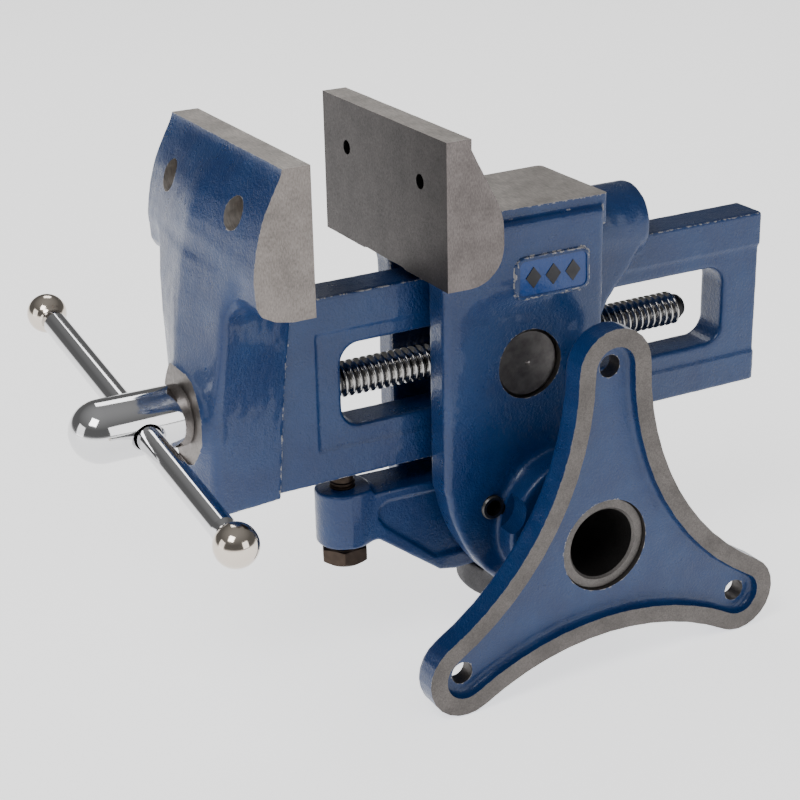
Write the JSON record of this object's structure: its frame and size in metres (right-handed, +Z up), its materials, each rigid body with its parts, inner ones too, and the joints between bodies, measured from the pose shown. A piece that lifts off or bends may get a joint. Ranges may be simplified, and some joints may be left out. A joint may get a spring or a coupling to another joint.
{
  "type": "bench vise",
  "caption": "Rotating bench vise: two jaws, slotted beam, lead screw with a sliding handle, crossing post sockets, lever lock, and a tubular post on a three-armed base.",
  "frame": {"origin": "centre of the bolt circle, on the base's recessed floor, 4.3 mm behind the mounting plane", "axes": "+Y along the post from the base into the vise, +Z up towards the jaws, +X along the lead screw from the handle to the rear of the beam"},
  "size_m": [0.2997, 0.1971, 0.2196],
  "materials": {
    "base_enamel": "deep blue enamel over cast iron, bare rims",
    "post_steel": "plain drawn steel tube",
    "body_enamel": "deep blue enamel over cast iron, machined jaw faces",
    "nut_steel": "dark turned steel",
    "jaw_enamel": "deep blue enamel over cast iron, machined jaw faces",
    "pin_steel": "plain steel",
    "screw_steel": "turned steel, bright plated head and oiled thread",
    "handle_chrome": "bright plated bar",
    "ball_steel": "polished steel",
    "lever_enamel": "deep blue enamel over cast iron",
    "roll_pin_steel": "plain steel",
    "bolt_steel": "brown-black oxide"
  },
  "bodies": {
    "base": {"tripod_base": "base_enamel", "post_tube": "post_steel"},
    "body": {"body_casting": "body_enamel", "barrel_nut": "nut_steel", "lever_pivot_pin": "roll_pin_steel"},
    "jaw": {"moving_jaw": "jaw_enamel", "retaining_pin": "pin_steel"},
    "screw": {"lead_screw": "screw_steel"},
    "handle": {"handle_bar": "handle_chrome", "near_handle_ball": "ball_steel", "far_handle_ball": "ball_steel"},
    "lever": {"lock_lever": "lever_enamel"},
    "adjuster": {"adjuster_bolt": "bolt_steel"}
  },
  "joints": [
    {"name": "post_swivel", "type": "hinge", "parent": "base", "child": "body", "pos_m": [0, 0.0565, 0], "axis": [0, 1, 0], "continuous": true},
    {"name": "jaw_slide", "type": "slide", "parent": "body", "child": "jaw", "axis": [1, 0, 0], "range_m": [-0.088, 0.0515]},
    {"name": "screw_spin", "type": "hinge", "parent": "jaw", "child": "screw", "pos_m": [-0.1656, 0.0565, 0.0675], "axis": [1, 0, 0], "range_deg": [-10600, 6200]},
    {"name": "handle_slide", "type": "slide", "parent": "screw", "child": "handle", "axis": [0, 0.9912, 0.1323], "range_m": [-0.077, 0.0665]},
    {"name": "lock_lever", "type": "hinge", "parent": "body", "child": "lever", "pos_m": [-0.032, 0.0565, 0.0115], "axis": [0, 1, 0], "range_deg": [-0.8, 0.4]},
    {"name": "adjuster_spin", "type": "hinge", "parent": "lever", "child": "adjuster", "pos_m": [-0.0845, 0.0565, 0], "axis": [0, 0, 1], "continuous": true}
  ],
  "couplings": [
    {"joint": "screw_spin", "follows": "jaw_slide", "rad_per_m": 2094.4}
  ]
}
